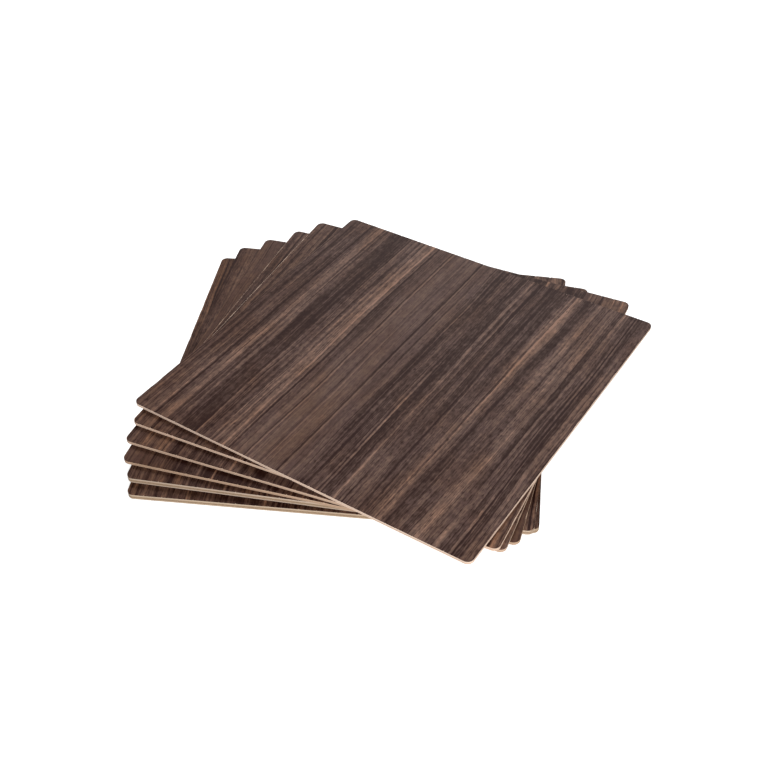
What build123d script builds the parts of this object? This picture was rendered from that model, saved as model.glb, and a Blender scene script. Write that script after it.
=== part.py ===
# A loose stack of six square plywood sheets, fanned out as a hand leaves it.
#
# Millimetres and degrees, +Z up. The stack lies flat on a level floor. The
# bottom sheet is square to X and Y, its front edge towards -Y, and the centre
# of its underside is the origin. Every other sheet is turned and slipped on it.
#
# Each sheet is glued up from four layers, which meet face to face: a walnut
# face veneer on top, and under it three plies, the middle one laid crosswise.

from build123d import *
from dataclasses import dataclass
import os

# The outline that every sheet is cut to
sheet_side = 300.0
corner_radius = 5.0

# The layers of a sheet. The two lowest sheets are thicker stock.
face_veneer = 0.5
thin_outer_ply = 0.95
thin_cross_ply = 1.0
thick_outer_ply = 1.4
thick_cross_ply = 1.7

# The sheets fan out about this point, measured from the bottom sheet's centre
fan_pivot_x = 18.0
fan_pivot_y = -78.0


@dataclass
class Sheet:
    """One sheet: its plies, its turn in the fan, and how far it slipped from the fan's arc."""

    name: str
    outer_ply: float
    cross_ply: float
    turn: float = 0.0
    slip_x: float = 0.0
    slip_y: float = 0.0


# From the bottom up. The turns are counter-clockwise seen from above.
stack = [
    Sheet("sheet_1", thick_outer_ply, thick_cross_ply),
    Sheet("sheet_2", thick_outer_ply, thick_cross_ply, turn=-3.5, slip_x=0.8, slip_y=1.5),
    Sheet("sheet_3", thin_outer_ply, thin_cross_ply, turn=-9.1, slip_x=-0.6, slip_y=-1.6),
    Sheet("sheet_4", thin_outer_ply, thin_cross_ply, turn=-14.7, slip_x=-0.3, slip_y=-1.2),
    Sheet("sheet_5", thin_outer_ply, thin_cross_ply, turn=-18.6, slip_x=2.3, slip_y=3.5),
    Sheet("sheet_6", thin_outer_ply, thin_cross_ply, turn=-25.8, slip_x=-0.6, slip_y=-1.4),
]


def layers_of(sheet):
    """The sheet's layers from its underside up, each with its thickness."""
    return [
        ("lower_ply", sheet.outer_ply),
        ("cross_ply", sheet.cross_ply),
        ("upper_ply", sheet.outer_ply),
        ("walnut_face", face_veneer),
    ]


def place_in_fan(sheet):
    """Where the sheet lies: turned about the fan's pivot, then slipped."""
    turned = Pos(fan_pivot_x, fan_pivot_y) * Rot(0, 0, sheet.turn) * Pos(-fan_pivot_x, -fan_pivot_y)
    return Pos(sheet.slip_x, sheet.slip_y) * turned


def make_layer(thickness):
    """One layer: a square panel with its four corners rounded off."""
    outline = RectangleRounded(sheet_side, sheet_side, corner_radius)
    return extrude(outline, amount=thickness)


def build_stack():
    """Every layer of every sheet, laid from the floor up."""
    os.makedirs("parts", exist_ok=True)
    height = 0.0
    for sheet in stack:
        place = place_in_fan(sheet)
        for layer, thickness in layers_of(sheet):
            panel = Pos(0, 0, height) * place * make_layer(thickness)
            export_step(panel, f"parts/{sheet.name}_{layer}.step")
            height += thickness


build_stack()
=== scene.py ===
# A loose, fanned stack of six plywood sheets: the finish of every layer, the eased and chipped
# edges, the light and the camera.
#
# Metres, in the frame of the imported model: the bottom sheet is square to X and Y, its front edge
# towards -Y, and the stack lies on a floor at height zero. Each sheet has its own frame about its
# centre: across is to the right along its front edge, and along is away from that edge, with the
# walnut's grain. The materials' patterns and the chips' widths and lengths are in millimetres.

import math
import random

import bmesh
import bpy
from mathutils import Matrix, Vector


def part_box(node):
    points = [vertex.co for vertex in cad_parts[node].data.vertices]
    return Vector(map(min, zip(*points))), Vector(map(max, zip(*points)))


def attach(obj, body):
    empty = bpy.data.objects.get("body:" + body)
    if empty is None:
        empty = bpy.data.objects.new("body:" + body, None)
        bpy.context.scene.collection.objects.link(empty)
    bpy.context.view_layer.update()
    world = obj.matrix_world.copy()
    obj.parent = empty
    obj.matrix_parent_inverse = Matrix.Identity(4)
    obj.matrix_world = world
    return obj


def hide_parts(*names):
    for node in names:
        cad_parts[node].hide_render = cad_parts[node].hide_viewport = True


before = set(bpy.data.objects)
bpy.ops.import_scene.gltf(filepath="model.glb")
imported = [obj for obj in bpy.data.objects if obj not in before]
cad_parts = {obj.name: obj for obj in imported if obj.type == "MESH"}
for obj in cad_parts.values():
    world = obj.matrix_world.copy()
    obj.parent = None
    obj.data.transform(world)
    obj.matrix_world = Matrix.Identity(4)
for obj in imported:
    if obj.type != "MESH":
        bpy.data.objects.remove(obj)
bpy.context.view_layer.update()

MM = 0.001

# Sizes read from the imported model

def lay_of(sheet):
    """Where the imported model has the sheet: its centre, and its turn about the vertical."""
    low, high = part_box(sheet + "_walnut_face")
    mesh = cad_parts[sheet + "_walnut_face"].data
    sides = [face for face in mesh.polygons if abs(face.normal.z) < 0.1]
    normal = max(sides, key=lambda face: face.area).normal
    quarter = math.pi / 2
    turn = (math.atan2(normal.y, normal.x) + quarter / 2) % quarter - quarter / 2
    return (low + high) / 2, turn


def outline_of(sheet):
    """The sheet's side, and the radius of its corners from the area that they take off a square."""
    centre, turn = lay_of(sheet)
    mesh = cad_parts[sheet + "_walnut_face"].data
    inward = Matrix.Rotation(-turn, 3, "Z")
    side = 2 * max((inward @ (vertex.co - centre)).x for vertex in mesh.vertices)
    face_area = sum(face.area for face in mesh.polygons if face.normal.z > 0.9)
    return side, math.sqrt((side ** 2 - face_area) / (4 - math.pi))


# Materials

def colour(code):
    """An sRGB hex colour as the linear colour that Blender wants."""
    channels = [int(code[i:i + 2], 16) / 255 for i in (1, 3, 5)]
    linear = [c / 12.92 if c <= 0.04045 else ((c + 0.055) / 1.055) ** 2.4 for c in channels]
    return (*linear, 1.0)


def add(tree, kind, inputs=None, stops=None, **settings):
    """Adds a shader node with its settings, its colour stops, and its inputs as values or as links.
    A colour Mix node has its factor at socket 0, its colours at 6 and 7, and its result at 2."""
    node = tree.nodes.new("ShaderNode" + kind)
    for name, value in settings.items():
        setattr(node, name, value)
    for socket, value in (inputs or {}).items():
        if isinstance(value, bpy.types.Node):
            value = value.outputs[0]
        if isinstance(value, bpy.types.NodeSocket):
            tree.links.new(value, node.inputs[socket])
        else:
            node.inputs[socket].default_value = value
    if stops:
        marks = node.color_ramp.elements
        marks[0].position, marks[0].color = stops[0]
        marks[1].position, marks[1].color = stops[-1]
        for place, shade in stops[1:-1]:
            marks.new(place).color = shade
    return node


def new_material(name):
    """A node material that has only its output, and its tree."""
    material = bpy.data.materials.new(name)
    material.use_nodes = True
    material.node_tree.nodes.clear()
    return material, material.node_tree


# The walnut's figure repeats over this width, in millimetres.
figure_width = 300.0

# Broad stripes of the walnut on the top sheet, read from the photograph: millimetres from its left
# edge, and tone, where 0 is the darkest heartwood and 1 the palest streak.
walnut_stripes = [
    (0, 0.50),
    (20, 0.45),
    (26, 0.52),
    (33, 0.62),
    (38, 0.42),
    (48, 0.33),
    (58, 0.30),
    (68, 0.36),
    (76, 0.46),
    (81, 0.70),
    (90, 0.66),
    (95, 0.52),
    (108, 0.56),
    (113, 0.64),
    (136, 0.64),
    (142, 0.54),
    (154, 0.52),
    (158, 0.24),
    (173, 0.28),
    (180, 0.30),
    (190, 0.46),
    (200, 0.34),
    (209, 0.18),
    (220, 0.40),
    (229, 0.54),
    (238, 0.28),
    (247, 0.60),
    (256, 0.46),
    (262, 0.56),
    (284, 0.48),
    (300, 0.50),
]

# Single lines in it: millimetres from the left edge, half the width, change of tone, and how far
# along the sheet the line is gone and is at its strongest. A line that ends nowhere has them off
# the sheet.
whole_length = (900, 600)
back_half = (-60, 60)
front_half = (60, -40)
walnut_lines = [
    (22.0, 2.0, -0.72, *whole_length),
    (45.0, 0.9, -0.17, *whole_length),
    (62.5, 1.4, 0.58, *front_half),
    (65.2, 1.3, -0.35, *whole_length),
    (80.5, 1.5, 0.38, *whole_length),
    (84.0, 0.9, -0.26, *whole_length),
    (88.5, 1.3, 0.38, *whole_length),
    (94.0, 1.4, -0.64, *whole_length),
    (109.0, 1.3, -0.55, *whole_length),
    (122.5, 0.9, -0.23, *whole_length),
    (139.0, 1.3, -0.46, *whole_length),
    (147.0, 0.9, -0.20, *whole_length),
    (176.5, 1.6, 0.58, *front_half),
    (189.0, 1.7, 0.58, *whole_length),
    (228.5, 2.3, 0.38, *back_half),
    (233.5, 1.4, -0.38, *front_half),
    (250.0, 2.8, 0.38, *back_half),
    (259.5, 1.5, 0.32, *whole_length),
    (285.0, 1.1, -0.64, *whole_length),
]


def walnut(sheet, seed, stripe_shift, mirrored, paleness, painted_front_light_and_shade, figure, brownness_and_warm_shade):
    """Sanded walnut veneer, quarter cut: straight stripes 2 to 20 mm wide, dark growth lines, fine
    fibres and open pores, with the low sheen of bare wood. Its sheets are cut from one log, so they
    share the stripes, moved sideways or turned over, and stronger or weaker. Towards the sheet's front
    edge the tone is made paler on some sheets, a painted light, and darker on others, a painted shade."""
    leaning_at = 95.0
    leaning_reach = 45.0
    lean_at_end = 5.0
    waver_width = 4.5
    tremble_width = 0.9
    mean_drift = 2.9
    calm_at = 127.0
    calm_reach = (20.0, 36.0)
    calm_to_lively = (0.65, 1.2)
    half_side = outline_of(sheet)[0] / 2 / MM
    centre, turn = lay_of(sheet)
    material, tree = new_material(f"walnut_veneer_{seed}")
    spot = add(tree, "TexCoord").outputs["Object"]
    place = add(tree, "Mapping", {0: spot, 1: centre, 2: (0, 0, turn), 3: (MM, MM, MM)},
                vector_type="TEXTURE")
    split = add(tree, "SeparateXYZ", {0: place})
    across, along = split.outputs[0], split.outputs[1]

    # The grain wanders by a few millimetres, and on one stretch it leans.
    off_lean = add(tree, "Math", {0: across, 1: leaning_at}, operation="SUBTRACT")
    near_lean = add(tree, "Math", {0: off_lean}, operation="ABSOLUTE")
    lean = add(tree, "MapRange", {0: near_lean, 1: 0.0, 2: leaning_reach, 3: -lean_at_end / half_side,
                                  4: 0.0}, interpolation_type="SMOOTHSTEP")
    leaning = add(tree, "Math", {0: along, 1: lean, 2: across}, operation="MULTIPLY_ADD")
    drift = add(tree, "CombineXYZ", {0: across, 1: along, 2: seed * 53.0})
    slow = add(tree, "VectorMath", {0: drift, 1: (1 / 30, 1 / 110, 1)}, operation="MULTIPLY")
    waver = add(tree, "TexNoise", {"Vector": slow, "Scale": 1.0, "Detail": 1.0, "Roughness": 0.5})
    wander = add(tree, "Math", {0: waver, 1: waver_width, 2: leaning}, operation="MULTIPLY_ADD")
    quick = add(tree, "VectorMath", {0: drift, 1: (1 / 2.5, 1 / 9, 1)}, operation="MULTIPLY")
    tremble = add(tree, "TexNoise", {"Vector": quick, "Scale": 1.0, "Detail": 1.0, "Roughness": 0.5})
    sway = add(tree, "Math", {0: tremble, 1: tremble_width, 2: wander}, operation="MULTIPLY_ADD")
    grain = add(tree, "CombineXYZ", {0: sway, 1: along, 2: seed * 17.0})

    def streaks(width, length, detail, shift):
        """Noise drawn out along the grain, with streaks of that width and length in millimetres."""
        stretched = add(tree, "VectorMath", {0: grain, 1: (1 / width, 1 / length, 1),
                                             2: (shift, shift, shift)}, operation="MULTIPLY_ADD")
        return add(tree, "TexNoise", {"Vector": stretched, "Scale": 1.0, "Detail": detail, "Roughness": 0.6})

    def shaded(tone, pattern, weight):
        """The tone, made paler where the pattern is over a half and darker where it is under."""
        centred = add(tree, "Math", {0: pattern, 1: 0.5}, operation="SUBTRACT")
        return add(tree, "Math", {0: centred, 1: weight, 2: tone}, operation="MULTIPLY_ADD")

    # The broad stripes and the single lines
    left_edge = mean_drift - half_side + stripe_shift
    left, right = (1.0, 0.0) if mirrored else (0.0, 1.0)
    share = add(tree, "MapRange", {0: sway, 1: left_edge, 2: left_edge + figure_width,
                                   3: left, 4: right}, clamp=False)
    wrapped = add(tree, "Math", {0: share}, operation="FRACT")
    stripe_stops = [(mm / figure_width, (grey, grey, grey, 1)) for mm, grey in walnut_stripes]
    stripe = add(tree, "ValToRGB", {0: wrapped}, stops=stripe_stops)
    # Painted light and shade: towards the front edge the tone is made paler where this amount is above zero,
    # and darker where it is below.
    towards_front = add(tree, "MapRange", {0: along, 1: 0.0, 2: -half_side, 3: paleness,
                                           4: paleness + painted_front_light_and_shade})
    centred_stripe = add(tree, "Math", {0: stripe, 1: 0.5}, operation="SUBTRACT")
    tone = add(tree, "Math", {0: centred_stripe, 1: figure, 2: towards_front}, operation="MULTIPLY_ADD")
    from_left = add(tree, "Math", {0: wrapped, 1: figure_width}, operation="MULTIPLY")
    for middle, half_width, change, gone, full in walnut_lines:
        off_line = add(tree, "Math", {0: from_left, 1: middle}, operation="SUBTRACT")
        distance = add(tree, "Math", {0: off_line}, operation="ABSOLUTE")
        line = add(tree, "MapRange", {0: distance, 1: 0.0, 2: half_width, 3: change * figure, 4: 0.0},
                   interpolation_type="SMOOTHSTEP")
        strength = add(tree, "MapRange", {0: along, 1: gone, 2: full, 3: 0.0, 4: 1.0})
        tone = add(tree, "Math", {0: line, 1: strength, 2: tone}, operation="MULTIPLY_ADD")

    # Growth rings, cut on the quarter: each has its own shade, and some have a dark line between
    # them. This and all that is finer is summed apart, because it is fainter on one calm stretch.
    figured = tone
    tone = 0.0
    for width, shade_weight, line_width, line_weight, shift in (
        (5.2, 0.16, 0.50, 0.50, 1.7),
        (2.1, 0.46, 0.30, 0.40, 5.3),
    ):
        ring_place = add(tree, "Math", {0: sway, 1: 1 / width, 2: seed * 31 + shift},
                         operation="MULTIPLY_ADD")
        ring = add(tree, "TexVoronoi", {"W": ring_place, "Scale": 1.0, "Smoothness": 0.3},
                   voronoi_dimensions="1D", feature="SMOOTH_F1")
        tone = shaded(tone, ring.outputs["Color"], shade_weight)
        border = add(tree, "TexVoronoi", {"W": ring_place, "Scale": 1.0}, voronoi_dimensions="1D",
                     feature="DISTANCE_TO_EDGE")
        line = add(tree, "MapRange", {0: border, 1: 0.0, 2: line_width / width, 3: 1.0, 4: 0.0},
                   interpolation_type="SMOOTHSTEP")
        presence = streaks(width, 90.0, 1.0, shift + 40)
        drawn = add(tree, "MapRange", {0: presence, 1: 0.42, 2: 0.66, 3: 0.0, 4: -line_weight})
        tone = add(tree, "Math", {0: line, 1: drawn, 2: tone}, operation="MULTIPLY_ADD")

    # Streaks and fibres, from broad to fine
    for width, length, detail, weight, shift in (
        (14.0, 150.0, 1.0, 0.32, 3.1),
        (3.0, 130.0, 1.0, 0.74, 7.7),
        (1.1, 60.0, 2.0, 0.52, 11.3),
        (0.5, 8.0, 1.0, 0.38, 19.9),
        (1.6, 3.5, 1.0, 0.34, 29.7),
        (5.0, 7.0, 2.0, 0.52, 23.3),
    ):
        tone = shaded(tone, streaks(width, length, detail, shift), weight)

    # Open pores: short dark dashes along the grain, drawn a little wider than life so that they show.
    pore = streaks(0.6, 5.0, 0.0, 47.0)
    pit = add(tree, "MapRange", {0: pore, 1: 0.62, 2: 0.74, 3: 0.0, 4: 1.0}, interpolation_type="SMOOTHSTEP")
    tone = add(tree, "Math", {0: pit, 1: -0.22, 2: tone}, operation="MULTIPLY_ADD")

    off_calm = add(tree, "Math", {0: from_left, 1: calm_at}, operation="SUBTRACT")
    near_calm = add(tree, "Math", {0: off_calm}, operation="ABSOLUTE")
    liveliness = add(tree, "MapRange", {0: near_calm, 1: calm_reach[0], 2: calm_reach[1],
                                        3: calm_to_lively[0], 4: calm_to_lively[1]})
    tone = add(tree, "Math", {0: tone, 1: liveliness, 2: figured}, operation="MULTIPLY_ADD")

    # The wood's colour by tone, and browner patches in it. The lower sheets are made browner all over,
    # partly their own colour and partly a painted warm shade for the shade under the sheets above them.
    stain = add(tree, "ValToRGB", {0: tone}, stops=[
        (0.04, colour("#230d08")),
        (0.20, colour("#321e17")),
        (0.36, colour("#422f29")),
        (0.50, colour("#503a35")),
        (0.64, colour("#5c473d")),
        (0.82, colour("#6e5449")),
        (0.95, colour("#7d6051")),
        (1.00, colour("#8b6b5b")),
    ])
    warmth = streaks(30.0, 60.0, 2.0, 61.0)
    warm_share = add(tree, "MapRange", {0: warmth, 1: 0.42, 2: 0.70, 3: brownness_and_warm_shade, 4: brownness_and_warm_shade + 0.5})
    warmed = add(tree, "Mix", {0: warm_share, 6: stain, 7: colour("#eed3ac")}, data_type="RGBA",
                 blend_type="MULTIPLY")
    rough = add(tree, "MapRange", {0: tone, 1: 0.0, 2: 1.0, 3: 0.56, 4: 0.48})
    height = add(tree, "Math", {0: pit, 1: -0.6, 2: streaks(0.5, 24.0, 1.0, 31.0)}, operation="MULTIPLY_ADD")
    bump = add(tree, "Bump", {"Height": height, "Strength": 0.5, "Distance": 0.00012})
    shader = add(tree, "BsdfPrincipled", {"Base Color": warmed.outputs[2], "Roughness": rough, "IOR": 1.5,
                                          "Specular IOR Level": 0.045, "Normal": bump})
    add(tree, "OutputMaterial", {0: shader})
    return material


def ply(sheet, name, seed, crosswise, ply_colour_with_light_and_shade, end_contrast):
    """Pale basswood ply, peeled, glued up and sawn, with sanded edges. Long grain is pale and silky
    with fine streaks, and end grain is darker and dotted with pores. The outer plies' grain runs
    along the sheet's front edge, and the crosswise one's away from it."""
    centre, turn = lay_of(sheet)
    grain_turn = turn + (0 if crosswise else math.pi / 2)
    material, tree = new_material(f"{name}_{seed}")
    coordinates = add(tree, "TexCoord")
    place = add(tree, "Mapping", {0: coordinates.outputs["Object"], 1: centre, 2: (0, 0, grain_turn),
                                  3: (MM, MM, MM)}, vector_type="TEXTURE")
    grain_direction = (-math.sin(grain_turn), math.cos(grain_turn), 0.0)
    facing = add(tree, "VectorMath", {0: coordinates.outputs["Normal"], 1: grain_direction},
                 operation="DOT_PRODUCT")
    end_on = add(tree, "Math", {0: facing.outputs["Value"]}, operation="ABSOLUTE")
    end_grain = add(tree, "MapRange", {0: end_on, 1: 0.3, 2: 0.9, 3: 0.0, 4: end_contrast})

    def noise(scale, detail, shift):
        """Noise with spots of that size in millimetres, across, along and up."""
        stretched = add(tree, "VectorMath", {0: place, 1: [1 / size for size in scale],
                                             2: (shift, shift, seed * 7.0)}, operation="MULTIPLY_ADD")
        return add(tree, "TexNoise", {"Vector": stretched, "Scale": 1.0, "Detail": detail, "Roughness": 0.6})

    figure = noise((26.0, 170.0, 3.0), 3.0, 2.3)
    streak = noise((1.1, 38.0, 0.6), 4.0, 5.9)
    long_tone = add(tree, "Math", {0: figure, 1: 0.5, 2: streak}, operation="MULTIPLY_ADD")
    long_shade = add(tree, "ValToRGB", {0: long_tone}, stops=[
        (0.45, colour("#e0d9d2")),
        (0.75, colour("#f8f6f3")),
        (1.00, colour("#ffffff")),
    ])
    dots = noise((0.9, 0.9, 0.35), 3.0, 8.1)
    end_shade = add(tree, "ValToRGB", {0: dots}, stops=[
        (0.25, colour("#a39688")),
        (0.50, colour("#c8bbaa")),
        (0.75, colour("#e3dacd")),
    ])
    shade = add(tree, "Mix", {0: end_grain, 6: long_shade, 7: end_shade}, data_type="RGBA")
    # The sheet's ply colour is partly its own and partly painted light and shade: paler on the upper sheets
    # and darker on the lower ones.
    tinted = add(tree, "Mix", {0: 1.0, 6: shade.outputs[2], 7: colour(ply_colour_with_light_and_shade)}, data_type="RGBA",
                 blend_type="MULTIPLY")
    fibre = noise((0.5, 20.0, 0.3), 1.0, 3.7)
    bump = add(tree, "Bump", {"Height": fibre, "Strength": 0.5, "Distance": 0.0001})
    shader = add(tree, "BsdfPrincipled", {"Base Color": tinted.outputs[2], "Roughness": 0.75, "IOR": 1.5,
                                          "Specular IOR Level": 0.3, "Normal": bump})
    add(tree, "OutputMaterial", {0: shader})
    return material


# Modelled layers: the walnut veneer with its eased, chipped edge, and the lower ply with its eased arris

def deselect_all():
    """An operator acts on all that is selected, so nothing is left selected before one."""
    bpy.ops.object.select_all(action="DESELECT")


def select_only(*pieces):
    """Selects these pieces, the first as the active one."""
    deselect_all()
    for piece in pieces:
        piece.select_set(True)
    bpy.context.view_layer.objects.active = pieces[0]


def round_plate(name, sheet, node, eased_face, ease, steps, short=0.0):
    """A square plate with rounded corners in the place of a packed layer, with one face's edge
    eased. It may stop short of the sheet's left edge."""
    low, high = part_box(node)
    centre, turn = lay_of(sheet)
    side, corner_radius = outline_of(sheet)
    shift = Matrix.Rotation(turn, 3, "Z") @ Vector((short / 2, 0, 0))
    middle = Vector((centre.x, centre.y, (low.z + high.z) / 2)) + shift
    deselect_all()
    bpy.ops.mesh.primitive_cube_add(size=1, location=middle, rotation=(0, 0, turn),
                                    scale=(side - short, side, high.z - low.z))
    plate = bpy.context.object
    plate.name = name
    bpy.ops.object.transform_apply(location=True, rotation=True, scale=True)
    bpy.ops.object.mode_set(mode="EDIT")

    def pick_edges(wanted):
        """Selects the edges whose two ends pass the test."""
        bpy.ops.mesh.select_all(action="DESELECT")
        bpy.ops.mesh.select_mode(type="EDGE")
        cage = bmesh.from_edit_mesh(plate.data)
        for edge in cage.edges:
            edge.select_set(wanted(*[vertex.co for vertex in edge.verts]))
        bmesh.update_edit_mesh(plate.data)

    pick_edges(lambda one, other: abs(one.z - other.z) > (high.z - low.z) / 2)
    bpy.ops.mesh.bevel(offset=corner_radius, segments=12, affect="EDGES")
    level = high.z if eased_face == "top" else low.z
    pick_edges(lambda one, other: abs(one.z - level) < 0.01 * MM and abs(other.z - level) < 0.01 * MM)
    bpy.ops.mesh.bevel(offset=ease, segments=steps, affect="EDGES")
    bpy.ops.object.mode_set(mode="OBJECT")
    return plate


def finish_piece(piece, node, material):
    """Shades a modelled layer, gives it its material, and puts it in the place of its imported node."""
    select_only(piece)
    bpy.ops.object.shade_smooth_by_angle(angle=math.radians(20))
    piece.data.materials.clear()
    piece.data.materials.append(material)
    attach(piece, "root")
    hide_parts(node)


def model_chip():
    """One chip for a saw's break-out in the veneer: a ragged upright sliver, 1 mm across each way."""
    deselect_all()
    bpy.ops.mesh.primitive_cylinder_add(vertices=9, radius=0.5 * MM, depth=3 * MM)
    chip = bpy.context.object
    bpy.ops.object.mode_set(mode="EDIT")
    bpy.ops.mesh.select_all(action="SELECT")
    bpy.ops.transform.vertex_random(offset=0.06 * MM, seed=4)
    bpy.ops.object.mode_set(mode="OBJECT")
    return chip


def chip_edges(plate, sheet, seed, chip, short):
    """Breaks chips out of the veneer's edge: short ones where the saw crossed the grain, at the
    front and the back, and long thin ones along the grain."""
    centre, turn = lay_of(sheet)
    side, corner_radius = outline_of(sheet)
    half = side / 2
    chance = random.Random(seed)
    straight = side - 4 * corner_radius
    chips = []

    def break_out(across, along, width, length):
        """Puts a copy of the chip at a place in the sheet's own frame."""
        piece = chip.copy()
        piece.data = chip.data.copy()
        bpy.context.scene.collection.objects.link(piece)
        piece.matrix_world = (Matrix.Translation(centre) @ Matrix.Rotation(turn, 4, "Z")
                              @ Matrix.Translation((across, along, 0))
                              @ Matrix.Diagonal((width, length, 1, 1)))
        chips.append(piece)

    chips_across_grain = 22
    for end in (-half, half):
        for step in range(chips_across_grain):
            across = straight * ((step + chance.uniform(0.15, 0.85)) / chips_across_grain - 0.5)
            break_out(across, end, chance.uniform(0.5, 1.3), chance.uniform(0.5, 1.9))
    chips_along_grain = 7
    for edge in (short - half, half):
        for step in range(chips_along_grain):
            along = straight * ((step + chance.uniform(0.25, 0.75)) / chips_along_grain - 0.5)
            break_out(edge, along, chance.uniform(0.3, 0.7), chance.uniform(3.0, 14.0))

    select_only(*chips)
    bpy.ops.object.join()
    cutter = bpy.context.object
    select_only(plate)
    cut = plate.modifiers.new("chips", "BOOLEAN")
    cut.operation = "DIFFERENCE"
    cut.solver = "EXACT"
    cut.object = cutter
    bpy.ops.object.modifier_apply(modifier=cut.name)
    bpy.data.objects.remove(cutter)


def dress(node, material):
    """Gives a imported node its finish."""
    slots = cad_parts[node].data.materials
    slots.clear()
    slots.append(material)


# How the sheets differ, from the bottom one to the top one. "ply" is the colour of the ply, partly
# its own and partly painted light and shade, paler on the upper sheets and darker on the lower ones,
# and "core" the contrast of its end grain. "short" is how far the walnut face was laid short of the
# left edge, where a hairline of pale ply shows. The rest is the walnut's: how far its stripes are
# moved, in millimetres, whether they are turned over, its tone, how much paler (a painted light) or
# darker (a painted shade) it is made towards the front edge, the strength of its stripes, and how
# brown it is, partly its own colour and partly a painted warm shade.
sheet_differences = {
    "sheet_1": {"ply": "#ceb8a2", "core": 1.0, "short": 0.0, "stripe_shift": 292.0, "mirrored": True,
                "paleness": 0.52, "painted_front_light_and_shade": 0.02, "figure": 0.8, "brownness_and_warm_shade": 0.50},
    "sheet_2": {"ply": "#ceb9a6", "core": 1.0, "short": 0.0, "stripe_shift": 12.0, "mirrored": False,
                "paleness": 0.57, "painted_front_light_and_shade": -0.04, "figure": 0.8, "brownness_and_warm_shade": 0.32},
    "sheet_3": {"ply": "#caac94", "core": 0.35, "short": 0.0, "stripe_shift": 183.0, "mirrored": False,
                "paleness": 0.43, "painted_front_light_and_shade": -0.02, "figure": 0.9, "brownness_and_warm_shade": 0.38},
    "sheet_4": {"ply": "#d7baa4", "core": 0.35, "short": 0.4 * MM, "stripe_shift": 279.0, "mirrored": True,
                "paleness": 0.57, "painted_front_light_and_shade": 0.00, "figure": 0.9, "brownness_and_warm_shade": 0.20},
    "sheet_5": {"ply": "#eccfba", "core": 0.35, "short": 0.5 * MM, "stripe_shift": 35.0, "mirrored": False,
                "paleness": 0.50, "painted_front_light_and_shade": 0.04, "figure": 0.9, "brownness_and_warm_shade": 0.25},
    "sheet_6": {"ply": "#f3d9c7", "core": 0.35, "short": 0.0, "stripe_shift": 0.0, "mirrored": False,
                "paleness": 0.48, "painted_front_light_and_shade": 0.11, "figure": 0.9, "brownness_and_warm_shade": 0.0},
}

veneer_ease = 0.12 * MM
back_ease = 0.6 * MM

chip = model_chip()
for number, (sheet, own) in enumerate(sheet_differences.items(), start=1):
    outer = ply(sheet, "basswood_outer_ply", number, crosswise=False, ply_colour_with_light_and_shade=own["ply"],
                end_contrast=own["core"])
    core = ply(sheet, "basswood_cross_ply", number, crosswise=True, ply_colour_with_light_and_shade=own["ply"],
                end_contrast=own["core"])
    face = walnut(sheet, number, own["stripe_shift"], own["mirrored"], own["paleness"],
                  own["painted_front_light_and_shade"], own["figure"], own["brownness_and_warm_shade"])

    veneer = round_plate(f"{sheet}_veneer", sheet, f"{sheet}_walnut_face", "top", veneer_ease, 2,
                         own["short"])
    chip_edges(veneer, sheet, number, chip, own["short"])
    finish_piece(veneer, f"{sheet}_walnut_face", face)

    back = round_plate(f"{sheet}_back_ply", sheet, f"{sheet}_lower_ply", "bottom", back_ease, 3)
    finish_piece(back, f"{sheet}_lower_ply", outer)

    dress(f"{sheet}_upper_ply", outer)
    dress(f"{sheet}_cross_ply", core)
bpy.data.objects.remove(chip)


# Floor, light and camera

def make_floor():
    """A plain pale floor, lifted to white for the camera, that keeps the stack's shadow."""
    deselect_all()
    bpy.ops.mesh.primitive_plane_add(size=12)
    floor = bpy.context.object
    floor.name = "floor"
    material, tree = new_material("pale_floor")
    rays = add(tree, "LightPath")
    matt = add(tree, "BsdfDiffuse", {"Color": colour("#d0d0d0")})
    lift = add(tree, "Math", {0: rays.outputs["Is Camera Ray"], 1: 0.85}, operation="MULTIPLY")
    glow = add(tree, "Emission", {"Strength": lift})
    both = add(tree, "AddShader", {0: matt, 1: glow})
    add(tree, "OutputMaterial", {0: both})
    floor.data.materials.append(material)


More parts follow.
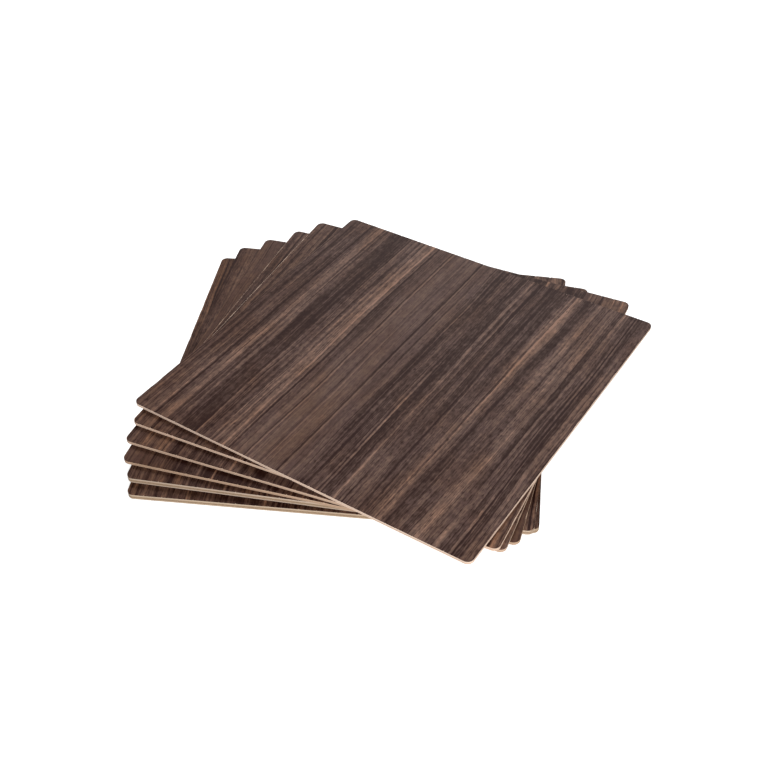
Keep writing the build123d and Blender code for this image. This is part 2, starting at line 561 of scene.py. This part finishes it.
def make_world(level):
    """Plain light from all round, white to the camera and in reflections."""
    world = bpy.data.worlds.new("studio")
    bpy.context.scene.world = world
    world.use_nodes = True
    tree = world.node_tree
    tree.nodes.clear()
    rays = add(tree, "LightPath")
    seen = add(tree, "Math", {0: rays.outputs["Is Camera Ray"], 1: rays.outputs["Is Glossy Ray"]},
               operation="MAXIMUM")
    shown = add(tree, "Math", {0: seen, 1: rays.outputs["Is Transmission Ray"]}, operation="MAXIMUM")
    strength = add(tree, "MapRange", {0: shown, 3: level, 4: 1.0})
    background = add(tree, "Background", {"Color": (1, 1, 1, 1), "Strength": strength})
    add(tree, "OutputWorld", {0: background})


def make_lamp(name, place, aim, size, power):
    """A square soft lamp at a place, facing a point."""
    lamp = bpy.data.lights.new(name, "AREA")
    lamp.size = size
    lamp.energy = power
    holder = bpy.data.objects.new(name, lamp)
    bpy.context.scene.collection.objects.link(holder)
    holder.location = place
    holder.rotation_euler = (Vector(aim) - Vector(place)).to_track_quat("-Z", "Y").to_euler()


def make_camera():
    """The photograph's viewpoint, found from the edges of the six sheets."""
    image_width_px = 768
    focal_length_px = 1140.0
    sensor_width_mm = 36.0
    distance = 0.9254
    aim = Vector((0.0207, -0.0033, 0.0))
    heading = math.radians(8.53)
    elevation = math.radians(41.38)
    roll = math.radians(-1.50)
    forward = Vector((-math.sin(heading) * math.cos(elevation), math.cos(heading) * math.cos(elevation),
                      -math.sin(elevation)))
    level_right = Vector((math.cos(heading), math.sin(heading), 0.0))
    level_up = level_right.cross(forward)
    right = math.cos(roll) * level_right + math.sin(roll) * level_up
    up = -math.sin(roll) * level_right + math.cos(roll) * level_up
    lens = bpy.data.cameras.new("camera")
    lens.sensor_width = sensor_width_mm
    lens.lens = focal_length_px * sensor_width_mm / image_width_px
    camera = bpy.data.objects.new("camera", lens)
    bpy.context.scene.collection.objects.link(camera)
    turned = Matrix((right, up, -forward)).transposed().to_4x4()
    camera.matrix_world = Matrix.Translation(aim - forward * distance) @ turned
    bpy.context.scene.camera = camera


# The key lamp stands behind and above the stack, and gives the walnut a soft sheen at the back right.
# The front lamp is low and weak, and lights the edges.
make_floor()
make_world(0.128)
make_lamp("key", place=(0.1, 3.02, 2.62), aim=(0, 0, 0), size=1.7, power=153)
make_lamp("front", place=(0.45, -1.3, 0.62), aim=(0, 0, 0), size=0.7, power=18)
make_camera()
bpy.context.scene.view_settings.view_transform = "Standard"
